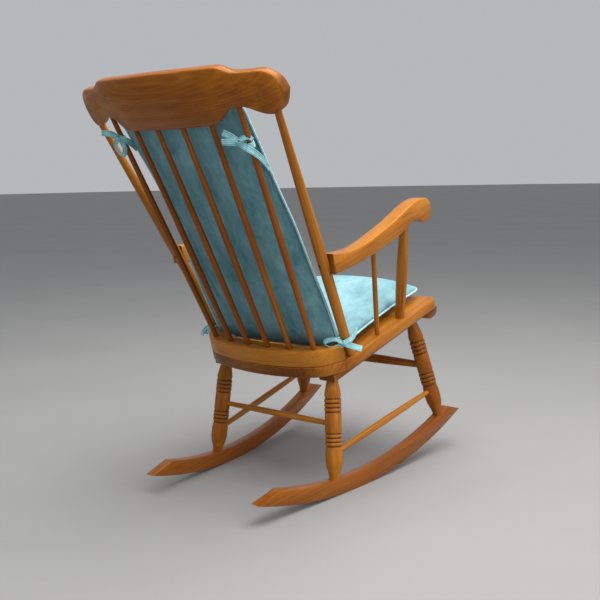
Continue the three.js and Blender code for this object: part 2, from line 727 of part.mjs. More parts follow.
function makeTies(sticks, posts) {
  const out = new THREE.Vector3(0, 1, 0);
  for (const [side, word] of [[-1, 'right'], [1, 'left']]) {
    const stick = side < 0 ? sticks[0] : sticks.at(-1);
    const behind = out.clone().add(new THREE.Vector3(side * 0.3, 0, 0));
    const height = crestDatumHeight - backTieUnderDatum[word];
    makeTie(`tie_back_${word}`, stick, height, stickTieRadius, behind, [
      [new THREE.Vector3(-side * 22, 34, 4), new THREE.Vector3(-side * 46, 40, 6)],
      [new THREE.Vector3(-side * 16, 32, -24), new THREE.Vector3(-side * 30, 36, -44)],
    ]);
    const aside = new THREE.Vector3(side, 0.3, 0);
    makeTie(`tie_seat_${word}`, posts[word], postFoot.z + seatTieAbovePost, postTieRadius, aside, [
      [new THREE.Vector3(side * 22, 38, 2), new THREE.Vector3(side * 8, 66, 0)],
      [new THREE.Vector3(side * 34, -12, -8), new THREE.Vector3(side * 36, -38, -12)],
    ]);
  }
}

// ---- Assembly ----
const sides = [[-1, 'right'], [1, 'left']];
const plank = makePlank();
const riser = makeRiser();
makeFrontRoll();
const crest = makeCrest();

const legs = {};
for (const [side, word] of sides) {
  const rocker = makeRocker(`rocker_${word}`, side);
  const cleat = makeCleat(`seat_cleat_${word}`, side);
  for (const end of ['front', 'rear']) {
    const leg = makeLeg(`leg_${end}_${word}`, end, side, rocker);
    cut(cleat, leg);
    cut(plank, leg);
    legs[`${end}_${word}`] = leg;
  }
  makeStretcher(`stretcher_side_${word}`, legs[`rear_${word}`], sideStretcherRearHeight,
    legs[`front_${word}`], sideStretcherFrontHeight, 7, 9.5);
}
makeStretcher('stretcher_rear', legs.rear_right, rearStretcherHeight,
  legs.rear_left, rearStretcherHeight, 6.5, 8.5);
makeStretcher('stretcher_front', legs.front_right, frontStretcherHeight,
  legs.front_left, frontStretcherHeight, 10, 14);

const sticks = [];
for (let number = 1; number <= stickCount; number += 1) {
  sticks.push(makeBackStick(number, riser, crest));
}

const posts = {};
for (const [side, word] of sides) {
  const post = makePost(`back_post_${word}`, side, plank, crest);
  const arm = makeArm(`arm_${word}`, side);
  cut(arm, post);
  makeArmRod(`arm_stump_${word}`, side, stumpBase, stumpReach, stumpProfile, 16, plank, arm);
  makeArmRod(`arm_spindle_${word}`, side, armStickBase, armStickReach, armStickProfile, 12, plank, arm);
  makeArmScrew(`arm_screw_${word}`, side, post, arm);
  posts[word] = post;
}

makeSeatCushion();
makeBackCushion();
makeTies(sticks, posts);

// Stands the chair on Z = 0 with the middle of its footprint over the origin.
chair.updateMatrixWorld(true);
const box = new THREE.Box3().setFromObject(chair, true);
const middle = box.getCenter(new THREE.Vector3());
chair.position.set(-middle.x, -middle.y, -box.min.z);
chair.updateMatrixWorld(true);

const model = new THREE.Group();
model.add(chair);
export default model;
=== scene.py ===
"""A rocking chair with tied-on cushions: lacquered wood, stuffed cushions with piping, ribbon ties and a
plain studio, built around the packed parts."""

import math

import bmesh
import bpy
import numpy as np
from bpy.props import FloatProperty, FloatVectorProperty, IntProperty, PointerProperty
from mathutils import Matrix, Vector, noise


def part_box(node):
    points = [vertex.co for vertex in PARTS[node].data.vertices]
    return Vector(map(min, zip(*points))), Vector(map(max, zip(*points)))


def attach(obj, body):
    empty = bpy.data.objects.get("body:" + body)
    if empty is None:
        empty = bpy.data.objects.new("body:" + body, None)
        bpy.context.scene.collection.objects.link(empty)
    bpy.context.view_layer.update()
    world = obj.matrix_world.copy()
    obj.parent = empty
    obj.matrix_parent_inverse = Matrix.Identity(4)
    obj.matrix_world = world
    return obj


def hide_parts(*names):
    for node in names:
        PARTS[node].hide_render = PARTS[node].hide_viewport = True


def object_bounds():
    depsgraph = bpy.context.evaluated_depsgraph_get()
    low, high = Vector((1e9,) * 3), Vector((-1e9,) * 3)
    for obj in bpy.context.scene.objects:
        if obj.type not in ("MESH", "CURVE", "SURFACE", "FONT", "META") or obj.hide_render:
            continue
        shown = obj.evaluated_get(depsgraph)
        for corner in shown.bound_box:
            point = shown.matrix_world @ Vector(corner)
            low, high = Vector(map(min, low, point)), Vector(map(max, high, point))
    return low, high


bl_info = {
    "name": "Rocking Chair",
    "version": (1, 0, 0),
    "blender": (4, 5, 0),
    "location": "3D View > Sidebar > Rocking Chair",
    "description": "Finishes a rocking chair's wood and makes its cushions, ties and studio",
    "category": "Object",
}

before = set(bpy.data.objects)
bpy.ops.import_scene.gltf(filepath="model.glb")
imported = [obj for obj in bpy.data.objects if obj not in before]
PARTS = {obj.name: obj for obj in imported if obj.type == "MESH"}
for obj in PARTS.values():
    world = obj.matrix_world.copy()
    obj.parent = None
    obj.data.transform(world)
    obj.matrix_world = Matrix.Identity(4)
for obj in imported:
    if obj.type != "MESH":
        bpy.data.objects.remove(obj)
CAD_LOW, CAD_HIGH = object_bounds()
MM = 0.001
ACROSS = Vector((1, 0, 0))
UP = Vector((0, 0, 1))


# ---------------------------------------------------------------- settings
def colour_setting(name, about, value):
    return FloatVectorProperty(name=name, description=about, subtype="COLOR", size=3, min=0, max=1,
                               default=value)


def length_setting(name, about, value):
    return FloatProperty(name=name, description=about, subtype="DISTANCE", unit="LENGTH",
                         min=0.0004, max=0.05, default=value)


def angle_setting(name, about, degrees):
    return FloatProperty(name=name, description=about, subtype="ANGLE",
                         default=math.radians(degrees))


class WoodSettings(bpy.types.PropertyGroup):
    """Colours and figure of the lacquered wood"""

    honey: colour_setting("Honey", "Wood where the lacquer is thin", (0.520, 0.200, 0.021))
    amber: colour_setting("Amber", "Wood where the lacquer is thick", (0.215, 0.054, 0.0045))
    # Dark is also used as painted shade in the hollows between a leg's beads, together with lacquer
    # pooled there.
    dark: colour_setting("Dark", "Grooves, flecks and end grain", (0.050, 0.010, 0.002))
    ring_width: length_setting("Ring Width", "Distance between growth rings", 0.0075)
    gloss: FloatProperty(
        name="Roughness", description="Roughness of the lacquer", subtype="FACTOR",
        min=0, max=1, default=0.33)
    smooth_angle: angle_setting("Smooth Below", "Edges turning less than this are shaded smooth", 50)


class CushionSettings(bpy.types.PropertyGroup):
    """Shape and cloth of the two cushions"""

    seat_tilt: angle_setting("Seat Tilt", "How far the seat rises to the front", 14.5)
    back_lean: angle_setting("Back Lean", "How far the back leans from upright", 27.485)
    cell: length_setting("Cell", "Size of the faces that the cushions are simulated with", 0.0088)
    pressure: FloatProperty(
        name="Pressure", description="How hard the filling presses on the cloth", default=4.0)
    frames: IntProperty(
        name="Frames", description="Length of the simulation", min=1, max=60, default=18)
    piping: length_setting("Piping Radius", "Radius of the corded piping", 0.0029)
    light: colour_setting("Light Nap", "Cloth brushed towards the light", (0.340, 0.580, 0.640))
    deep: colour_setting("Deep Nap", "Cloth brushed away from the light", (0.034, 0.190, 0.240))


class RibbonSettings(bpy.types.PropertyGroup):
    """The ribbons that tie the cushions on"""

    width: length_setting("Width", "Width of a ribbon", 0.0155)
    thickness: length_setting("Thickness", "Thickness of a ribbon", 0.0016)
    stitch: length_setting("Stitch Pitch", "Distance between stitches", 0.0042)
    colour: colour_setting("Colour", "Colour of the ribbon", (0.330, 0.700, 0.760))


class StudioSettings(bpy.types.PropertyGroup):
    """Floor, light and camera"""

    floor: colour_setting("Floor", "Colour of the floor", (0.33, 0.328, 0.322))
    key: FloatProperty(
        name="Key Light", description="Power of the large soft light", unit="POWER",
        default=150.0)
    sky: FloatProperty(
        name="Sky", description="Strength of the light from all round", default=0.5)
    focal: FloatProperty(
        name="Focal Length", description="Focal length of the lens, in millimetres",
        default=52.8)
    eye: FloatVectorProperty(
        name="Eye", description="Where the camera stands", subtype="TRANSLATION",
        unit="LENGTH", size=3, default=(-1.4979, 1.8484, 0.8374))
    yaw: angle_setting("Yaw", "Turn of the camera round the chair", 218.14)
    pitch: angle_setting("Pitch", "How far the camera looks down", 8.40)
    roll: angle_setting("Roll", "Turn of the camera about its own axis", -1.07)


GROUPS = {
    "chair_wood": WoodSettings,
    "chair_cushions": CushionSettings,
    "chair_ribbons": RibbonSettings,
    "chair_studio": StudioSettings,
}


# ---------------------------------------------------------------- node trees
class Nodes:
    """Adds nodes to a tree: a node's settings first, then the values or links of its sockets."""

    def __init__(self, tree):
        self.tree = tree

    def feed(self, socket, value):
        value = getattr(value, "socket", value)
        if isinstance(value, bpy.types.NodeSocket):
            self.tree.links.new(value, socket)
        elif socket.type == "RGBA" and len(value) == 3:
            socket.default_value = (*value, 1.0)
        else:
            socket.default_value = value

    def add(self, kind, settings=None, inputs=None):
        node = self.tree.nodes.new(kind)
        for key, value in (settings or {}).items():
            setattr(node, key, value)
        for key, value in (inputs or {}).items():
            self.feed(node.inputs[key], value)
        return node


class Value:
    """A number in a shader, to be used in ordinary expressions."""

    def __init__(self, nodes, socket):
        self.nodes = nodes
        self.socket = socket

    def _math(self, operation, first, second=0.0):
        node = self.nodes.add("ShaderNodeMath", {"operation": operation}, {0: first, 1: second})
        return Value(self.nodes, node.outputs[0])

    def __add__(self, other):
        return self._math("ADD", self, other)

    def __sub__(self, other):
        return self._math("SUBTRACT", self, other)

    def __rsub__(self, other):
        return self._math("SUBTRACT", other, self)

    def __mul__(self, other):
        return self._math("MULTIPLY", self, other)

    def __truediv__(self, other):
        return self._math("DIVIDE", self, other)

    def __pow__(self, other):
        return self._math("POWER", self, other)

    def floor(self):
        return self._math("FLOOR", self)

    def sine(self):
        return self._math("SINE", self)

    def size(self):
        return self._math("ABSOLUTE", self)

    __radd__ = __add__
    __rmul__ = __mul__


class Finish(Nodes):
    """A material, built from expressions."""

    def __init__(self, name):
        self.material = bpy.data.materials.new(name)
        self.material.use_nodes = True
        super().__init__(self.material.node_tree)
        self.tree.nodes.clear()

    def vector(self, kind, settings=None, inputs=None, output=0):
        return self.add(kind, settings, inputs).outputs[output]

    def number(self, kind, settings=None, inputs=None, output=0):
        return Value(self, self.vector(kind, settings, inputs, output))

    def object_place(self):
        return self.vector("ShaderNodeTexCoord", output="Object")

    def stretched(self, place, factors, shift=(0, 0, 0)):
        moved = self.vector("ShaderNodeVectorMath", {"operation": "ADD"}, {0: place, 1: shift})
        return self.vector("ShaderNodeVectorMath", {"operation": "MULTIPLY"}, {0: moved, 1: factors})

    def split(self, place):
        node = self.add("ShaderNodeSeparateXYZ", None, {0: place})
        return [Value(self, socket) for socket in node.outputs]

    def cloud(self, place, scale, detail=3.0, roughness=0.5, twist=0.0):
        return self.number("ShaderNodeTexNoise", {"noise_dimensions": "3D"}, {
            "Vector": place, "Scale": scale, "Detail": detail, "Roughness": roughness,
            "Distortion": twist})

    def ease(self, value, start, stop):
        return self.number("ShaderNodeMapRange", {"interpolation_type": "SMOOTHSTEP"}, {
            "Value": value, "From Min": start, "From Max": stop, "To Min": 0.0, "To Max": 1.0})

    def blend(self, share, first, second):
        settings = {"data_type": "RGBA", "blend_type": "MIX", "clamp_factor": True}
        return self.vector("ShaderNodeMix", settings, {0: share, 6: first, 7: second}, 2)

    def finish(self, colour, roughness, height, depth, **fixed):
        bump = self.vector("ShaderNodeBump", None, {
            "Height": height, "Distance": depth, "Strength": 1.0})
        shader = self.add("ShaderNodeBsdfPrincipled", None, {
            "Base Color": colour, "Roughness": roughness, "Normal": bump})
        for name, value in fixed.items():
            shader.inputs[name.replace("_", " ").title().replace("Ior", "IOR")].default_value = value
        self.add("ShaderNodeOutputMaterial", None, {"Surface": shader.outputs[0]})
        return self.material


# ---------------------------------------------------------------- the CAD parts' own places
END_SHARE = 0.04  # the share of a long part's length that counts as its end
FIT_POINTS = 2000  # about how many points are enough to find its direction
HOLLOW_LEAST, HOLLOW_MOST = 19.6 * MM, 20.2 * MM  # radii of the hollows between a leg's beads
HOLLOW, BEAD = 20.1 * MM, 22.3 * MM


def ends_of(name):
    """The middles of a long part's two ends, the lower one first."""
    points = np.array([v.co for v in PARTS[name].data.vertices])
    centre = points.mean(0)
    some = (points - centre)[:: max(1, len(points) // FIT_POINTS)]
    along = np.linalg.svd(some, full_matrices=False)[2][0]
    reach = (points - centre) @ along
    span = reach.max() - reach.min()
    low = points[reach < reach.min() + END_SHARE * span].mean(0)
    high = points[reach > reach.max() - END_SHARE * span].mean(0)
    if low[2] > high[2]:
        low, high = high, low
    return Vector(low), Vector(high)


def at_height(name, z):
    low, high = ends_of(name)
    return low.lerp(high, (z - low.z) / (high.z - low.z))


def bead_bands(name):
    """Where a leg's two bands of beads lie: for each, its middle and half length along the leg, from
    the leg's middle, and the radii of its hollows and beads."""
    low, high = ends_of(name)
    axis = (high - low).normalized()
    points = np.array([v.co for v in PARTS[name].data.vertices]) - np.array((low + high) / 2)
    along = points @ np.array(axis)
    radius = np.linalg.norm(points - along[:, None] * np.array(axis), axis=1)
    hollows = np.sort(along[(radius > HOLLOW_LEAST) & (radius < HOLLOW_MOST)])
    split = np.argmax(np.diff(hollows)) + 1
    bands = []
    for group in (hollows[:split], hollows[split:]):
        bands.append(((group[0] + group[-1]) / 2, (group[-1] - group[0]) / 2))
    return bands, HOLLOW, BEAD


def middle_of(name):
    low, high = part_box(name)
    return (low + high) / 2


# ---------------------------------------------------------------- wood
def new_tree(name, **inputs):
    """A Geometry Nodes tree that takes a geometry and the named inputs; with its nodes."""
    tree = bpy.data.node_groups.new(name, "GeometryNodeTree")
    tree.is_modifier = True
    tree.interface.new_socket("Geometry", in_out="INPUT", socket_type="NodeSocketGeometry")
    for label, kind in inputs.items():
        tree.interface.new_socket(label, in_out="INPUT", socket_type=f"NodeSocket{kind}")
    tree.interface.new_socket("Geometry", in_out="OUTPUT", socket_type="NodeSocketGeometry")
    nodes = Nodes(tree)
    return tree, nodes, nodes.add("NodeGroupInput")


def smoothing_tree():
    """Joins the CAD triangles and shades every edge smooth that turns less than an angle."""
    tree, nodes, given = new_tree("Smooth Facets", Angle="Float")
    welded = nodes.add("GeometryNodeMergeByDistance", None, {
        "Geometry": given.outputs["Geometry"], "Distance": 0.02 * MM})
    smooth = nodes.add("GeometryNodeSetShadeSmooth", {"domain": "FACE"}, {
        "Geometry": welded.outputs[0], "Shade Smooth": True})
    turn = nodes.add("GeometryNodeInputMeshEdgeAngle")
    sharp = nodes.add("FunctionNodeCompare", {"data_type": "FLOAT", "operation": "GREATER_THAN"}, {
        0: turn.outputs[0], 1: given.outputs["Angle"]})
    crisp = nodes.add("GeometryNodeSetShadeSmooth", {"domain": "EDGE"}, {
        "Geometry": smooth.outputs[0], "Selection": sharp.outputs[0], "Shade Smooth": False})
    nodes.add("NodeGroupOutput", None, {0: crisp.outputs[0]})
    return tree


def set_input(modifier, name, value):
    """Sets a Geometry Nodes modifier's input by its socket's identifier."""
    for item in modifier.node_group.interface.items_tree:
        if item.item_type == "SOCKET" and item.in_out == "INPUT" and item.name == name:
            modifier[item.identifier] = value
            return
    raise RuntimeError(f"{modifier.node_group.name} has no input {name}")


def smooth_part(name, angle):
    tree = bpy.data.node_groups.get("Smooth Facets") or smoothing_tree()
    modifier = PARTS[name].modifiers.new("Smooth Facets", "NODES")
    modifier.node_group = tree
    set_input(modifier, "Angle", angle)


STAVE_START = 0.31  # where the glued strips are counted from, across the grain
PITH_SIDE, PITH_BELOW = 0.09, 0.04  # how far off the growth rings' middle lies


def wood_finish(name, wood, along, centre, tone, seed, groove=None, staves=0.0, marks=()):
    """Lacquered wood with its grain along a direction.

    tone goes from 0, pale, to 1, red. groove is what bead_bands gives, for a leg. staves is the
    width of glued strips. marks are (place, length, width) of dark streaks."""
    f = Finish(name)
    along = along.normalized()
    side = along.cross(UP if abs(along.z) < 0.9 else ACROSS).normalized()
    turn = Matrix((along, side, along.cross(side))).transposed().to_euler()
    place = f.vector("ShaderNodeMapping", {"vector_type": "TEXTURE"}, {
        "Vector": f.object_place(), "Location": centre, "Rotation": turn})
    shift = (0.37 * seed, 0.193 * seed, 0.071 * seed)
    u, v, w = f.split(place)

    patches = f.cloud(f.stretched(place, (2.2, 7, 7), shift), 1.0, 3.0, 0.55)
    streaks = f.cloud(f.stretched(place, (5, 85, 85), shift), 1.0, 4.0, 0.6, 0.2)
    pores = f.cloud(f.stretched(place, (28, 520, 520), shift), 1.0, 2.0, 0.55)
    waver = f.cloud(f.stretched(place, (3.5, 16, 16), shift), 1.0, 2.0, 0.5)
    far = ((v + PITH_SIDE) ** 2.0 + (w * 1.3 + PITH_BELOW) ** 2.0) ** 0.5
    rings = ((far + waver * 0.016) * (2 * math.pi / wood.ring_width)).sine() * 0.5 + 0.5
    if staves:
        counted = (v + STAVE_START) / staves
        strip = counted.floor()
        shade = f.number("ShaderNodeTexWhiteNoise", {"noise_dimensions": "1D"}, {"W": strip})
        edge = (counted - strip - 0.5).size()
        joint = f.ease(edge, 0.485, 0.5)
        tone = shade * 0.22 - 0.11 + tone
    flecks = f.ease(pores, 0.62, 0.74)
    depth = patches * 1.05 + streaks * 0.78 + rings * 0.12 - 0.84 + tone
    colour = f.blend(f.ease(depth, -0.20, 0.95), wood.honey, wood.amber)
    colour = f.blend(flecks * 0.34, colour, wood.dark)
    colour = f.blend(f.ease(streaks, 0.56, 0.78) * 0.26, colour, wood.dark)
    facing = f.vector("ShaderNodeNewGeometry", output="Normal")
    across_grain = f.number("ShaderNodeVectorMath", {"operation": "DOT_PRODUCT"}, {
        0: facing, 1: along}, "Value").size()
    colour = f.blend(f.ease(across_grain, 0.75, 0.98) * 0.52, colour, wood.dark)
    if groove:
        bands, inner, outer = groove
        # painted shade, with some pooled lacquer: the hollows between a leg's beads are darkened towards
        # the dark colour
        bead_hollow_shade = 1 - f.ease((v ** 2.0 + w ** 2.0) ** 0.5, inner, outer)
        near = [1 - f.ease((u - middle).size(), half, half + 4 * MM) for middle, half in bands]
        colour = f.blend((near[0] + near[1]) * bead_hollow_shade * 0.85, colour, wood.dark)
    if staves:
        colour = f.blend(joint * 0.55, colour, wood.dark)
    for spot, length, width in marks:
        gap = f.stretched(f.object_place(), (1 / length, 1 / width, 1 / width), tuple(-spot))
        away = f.number("ShaderNodeVectorMath", {"operation": "LENGTH"}, {0: gap}, "Value")
        ragged = away + f.cloud(f.object_place(), 210.0) * 0.9
        colour = f.blend((1 - f.ease(ragged, 0.7, 1.35)) * 0.8, colour, wood.dark)
    worn = f.cloud(f.stretched(place, (9, 26, 26), shift), 1.0, 4.0, 0.6)
    roughness = wood.gloss - 0.06 + streaks * 0.10 + f.ease(worn, 0.55, 0.75) * 0.13
    height = streaks * 0.5 + pores * 0.35 + rings * 0.15
    return f.finish(colour, roughness, height, 0.35 * MM, coat_weight=0.10, coat_roughness=0.2,
                    coat_ior=1.5, specular_ior_level=0.30, specular_tint=(1.0, 0.62, 0.30, 1.0))


def screw_finish():
    """Dulled steel with a brown film of old lacquer."""
    f = Finish("dull screw")
    place = f.object_place()
    film = f.cloud(place, 900.0, 3.0)
    colour = f.blend(f.ease(film, 0.4, 0.65), (0.09, 0.06, 0.04), (0.30, 0.25, 0.20))
    return f.finish(colour, film * 0.3 + 0.35, film, 0.1 * MM, metallic=0.8)


def dress(name, material, angle):
    part = PARTS[name]
    part.data.materials.clear()
    part.data.materials.append(material)
    smooth_part(name, angle)


def dress_long(name, tone, seed, groove=None, marks=()):
    """Wood with its grain along the part's own length."""
    wood = bpy.context.scene.chair_wood
    low, high = ends_of(name)
    material = wood_finish(f"wood of {name}", wood, high - low, (low + high) / 2, tone, seed,
                           groove, marks=marks)
    dress(name, material, wood.smooth_angle)


class BaseWood(bpy.types.Operator):
    """Finishes the rockers, legs and stretchers"""

    bl_idname = "chair.base_wood"
    bl_label = "Base"

    def execute(self, context):
        for n, side in enumerate(("right", "left")):
            dress_long(f"rocker_{side}", 0.58, 3 + n)
            for k, end in enumerate(("front", "rear")):
                dress_long(f"leg_{end}_{side}", 0.58 - 0.32 * k, 11 + 2 * n + k,
                           bead_bands(f"leg_{end}_{side}"))
            dress_long(f"stretcher_side_{side}", 0.18, 21 + n)
        dress_long("stretcher_rear", 0.10, 25)
        dress_long("stretcher_front", 0.45, 26)
        return {"FINISHED"}


def seat_axes(tilt):
    """The ways along the tilted seat to its rear, and straight up from it."""
    return Vector((0, math.cos(tilt), -math.sin(tilt))), Vector((0, math.sin(tilt), math.cos(tilt)))


class SeatWood(bpy.types.Operator):
    """Finishes the seat plank, the riser on it, and the battens and moulding under it"""

    bl_idname = "chair.seat_wood"
    bl_label = "Seat"

    def execute(self, context):
        wood = context.scene.chair_wood
        back, _ = seat_axes(context.scene.chair_cushions.seat_tilt)
        plank = wood_finish("wood of seat_plank", wood, back, middle_of("seat_plank"), 0.40, 31,
                            staves=0.082)
        dress("seat_plank", plank, wood.smooth_angle)
        for name, tone, seed, along in (
                # The riser's very pale tone is partly painted light, standing in for the light falling
                # on its top.
                ("seat_back_riser", 0.02, 32, ACROSS), ("seat_front_roll", 0.30, 33, ACROSS),
                ("seat_cleat_right", 0.60, 34, back), ("seat_cleat_left", 0.60, 35, back)):
            material = wood_finish(f"wood of {name}", wood, along, middle_of(name), tone, seed)
            dress(name, material, wood.smooth_angle)
        return {"FINISHED"}


class BackWood(bpy.types.Operator):
    """Finishes the crest rail, the back posts and the back sticks"""

    bl_idname = "chair.back_wood"
    bl_label = "Back"

    def execute(self, context):
        wood = context.scene.chair_wood
        low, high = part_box("crest_rail")
        knot = Vector((low.x + 0.040, low.y + 0.045, high.z - 0.052))
        crest = wood_finish("wood of crest_rail", wood, ACROSS, middle_of("crest_rail"), 0.40, 41,
                            marks=[(knot, 0.016, 0.004)])
        dress("crest_rail", crest, wood.smooth_angle)
        for k in range(1, 7):
            dress_long(f"back_spindle_{k}", 0.62, 42 + k)
        for n, side in enumerate(("right", "left")):
            dress_long(f"back_post_{side}", 0.20, 51 + n)
        return {"FINISHED"}


class ArmWood(bpy.types.Operator):
    """Finishes the arms, the uprights under them and their screws"""

    bl_idname = "chair.arm_wood"
    bl_label = "Arms"

    def execute(self, context):
        wood = context.scene.chair_wood
        screw = screw_finish()
        for n, side in enumerate(("right", "left")):
            forward = Vector((0, -1, 0.28))
            material = wood_finish(f"wood of arm_{side}", wood, forward, middle_of(f"arm_{side}"),
                                   0.16, 61 + n)
            dress(f"arm_{side}", material, wood.smooth_angle)
            dress_long(f"arm_stump_{side}", 0.26, 63 + n)
            dress_long(f"arm_spindle_{side}", 0.34, 65 + n)
            dress(f"arm_screw_{side}", screw, wood.smooth_angle)
        return {"FINISHED"}


# ---------------------------------------------------------------- cushions
def rounded(x, y, half_w, half_l, corner):
    """Moves a point of a rectangle so that the rectangle's corners become round."""
    dx = (abs(x) - (half_w - corner)) / corner
    dy = (abs(y) - (half_l - corner)) / corner
    if dx > 0 and dy > 0:
        px = dx * math.sqrt(1 - dy * dy / 2)
        py = dy * math.sqrt(1 - dx * dx / 2)
        x = math.copysign(half_w - corner + corner * px, x)
        y = math.copysign(half_l - corner + corner * py, y)
    return x, y


class Pad:
    """A cushion in its own frame: x across, y along, z out of the panel that shows.

    Two crowned panels meet at one seam. width_at(y) and seam_at(y) give the half width and the seam's
    height at a place along the cushion, and free(x, y) the lowest that the lower panel may reach."""

    ACROSS_POWER, ALONG_POWER, CROWN_POWER = 2.6, 4, 0.52  # how boxy the crown is each way

    def __init__(self, half_l, crown_low, crown_high, corner, cell, width_at, seam_at, free):
        self.seam_at = seam_at
        self.free = free
        widest = max(width_at(-half_l), width_at(0), width_at(half_l))
        nx, ny = round(2 * widest / cell), round(2 * half_l / cell)
        self.points, self.faces = [], []
        top, bottom = {}, {}
        for i in range(nx + 1):
            for j in range(ny + 1):
                a, b = 2 * i / nx - 1, 2 * j / ny - 1
                x, y = rounded(a * widest, b * half_l, widest, half_l, corner)
                x *= width_at(y) / widest
                seam = seam_at(y)
                full = (1 - abs(a) ** self.ACROSS_POWER) * (1 - abs(b) ** self.ALONG_POWER)
                full = max(0.0, full) ** self.CROWN_POWER
                top[i, j] = self.put(x, y, seam + crown_high * full)
                on_seam = i in (0, nx) or j in (0, ny)
                bottom[i, j] = top[i, j] if on_seam else self.put(x, y, seam - crown_low * full)
        for i in range(nx):
            for j in range(ny):
                ring = [(i, j), (i + 1, j), (i + 1, j + 1), (i, j + 1)]
                self.faces.append([top[k] for k in ring])
                self.faces.append([bottom[k] for k in reversed(ring)])
        rim = [(i, 0) for i in range(nx)] + [(nx, j) for j in range(ny)]
        rim += [(i, ny) for i in range(nx, 0, -1)] + [(0, j) for j in range(ny, 0, -1)]
        self.seam = [top[k] for k in rim]

    def put(self, x, y, z):
        self.points.append(Vector((x, y, z)))
        return len(self.points) - 1


def mesh_object(name, points, faces, materials=()):
    mesh = bpy.data.meshes.new(name)
    mesh.from_pydata([tuple(p) for p in points], [], faces)
    mesh.validate()
    mesh.update()
    thing = bpy.data.objects.new(name, mesh)
    bpy.context.scene.collection.objects.link(thing)
    for material in materials:
        mesh.materials.append(material)
    mesh.polygons.foreach_set("use_smooth", [True] * len(mesh.polygons))
    return thing


def positions(mesh):
    flat = np.empty(len(mesh.vertices) * 3)
    mesh.vertices.foreach_get("co", flat)
    return flat.reshape(-1, 3)


def swell(pad, limit_high, limit_low, settings):
    """Blows the pad up as cloth held at its seams, and returns where its points end up."""
    start = np.array([tuple(p) for p in pad.points])
    thing = mesh_object("swelling pad", pad.points, pad.faces)
    held = thing.vertex_groups.new(name="held")
    held.add(pad.seam, 1.0, "REPLACE")
    modifier = thing.modifiers.new("Cloth", "CLOTH")
    cloth = modifier.settings
    cloth.quality = 6
    cloth.mass = 0.25
    cloth.tension_stiffness = cloth.compression_stiffness = 9
    cloth.shear_stiffness = 4
    cloth.bending_stiffness = 1.2
    cloth.use_pressure = True
    cloth.uniform_pressure_force = settings.pressure
    cloth.vertex_group_mass = "held"
    cloth.effector_weights.gravity = 0
    modifier.collision_settings.use_collision = False
    modifier.point_cache.frame_start = 1
    modifier.point_cache.frame_end = settings.frames
    scene = bpy.context.scene
    for number in range(1, settings.frames + 1):
        scene.frame_set(number)
    seen = thing.evaluated_get(bpy.context.evaluated_depsgraph_get())
    moved = positions(seen.data)
    data = thing.data
    bpy.data.objects.remove(thing)
    bpy.data.meshes.remove(data)
    scene.frame_set(1)
    change = moved - start
    length = np.linalg.norm(change, axis=1, keepdims=True)
    seam = np.array([[pad.seam_at(y)] for y in start[:, 1]])
    cap = np.where(start[:, 2:3] > seam, limit_high, limit_low)
    return start + change * np.tanh(length / cap) * cap / np.maximum(length, 1e-9)


SLOW_LUMPS, SMALL_LUMPS = (9, 3.0 * MM), (24, 1.2 * MM)  # noise scale and height
PUCKER_SCALE, PUCKER_REACH = 58, 0.022
SEAM_FADE = 0.012  # lumps fade out within this distance of a seam


def soften(pad, points, seed, ripple, folds=()):
    """Adds the slow unevenness of a filling, the small puckers beside a seam, and long folds in the
    lower panel. A fold is (points of its line, depth, width)."""
    rim = points[pad.seam]
    done = points.copy()
    for k, p in enumerate(points):
        away = np.sqrt(((rim - p) ** 2).sum(1)).min()
        if away < 1e-6:
            continue
        where = Vector(p) + Vector((seed, 0, 0))
        slow = sum(noise.noise(where * scale) * rise for scale, rise in (SLOW_LUMPS, SMALL_LUMPS))
        pucker = noise.noise(where * PUCKER_SCALE) * ripple * math.exp(-away / PUCKER_REACH)
        upper = p[2] > pad.seam_at(p[1])
        way = 1 if upper else -1
        done[k, 2] += way * (slow + pucker) * min(1, away / SEAM_FADE)
        for line, depth, width in folds:
            if not upper:
                gap = distance_to(line, p)
                done[k, 2] += depth * math.exp(-((gap / width) ** 2))
        if not upper:
            done[k, 2] = max(done[k, 2], pad.free(p[0], p[1]))
    return done


def distance_to(line, p):
    """How far a point is from a line of (x, y) points, fading out past the line's ends."""
    best = 1.0
    for (ax, ay), (bx, by) in zip(line, line[1:]):
        length = (bx - ax) ** 2 + (by - ay) ** 2
        t = min(1, max(0, ((p[0] - ax) * (bx - ax) + (p[1] - ay) * (by - ay)) / length))
        best = min(best, math.hypot(p[0] - ax - t * (bx - ax), p[1] - ay - t * (by - ay)))
    return best


def bake(thing, modifier):
    """Leaves a modifier's result as the object's plain mesh."""
    made = bpy.data.meshes.new_from_object(
        thing.evaluated_get(bpy.context.evaluated_depsgraph_get()))
    thing.modifiers.remove(modifier)
    old, thing.data = thing.data, made
    bpy.data.meshes.remove(old)


def subdivide(thing):
    modifier = thing.modifiers.new("Soft", "SUBSURF")
    modifier.levels = modifier.render_levels = 1
    bake(thing, modifier)


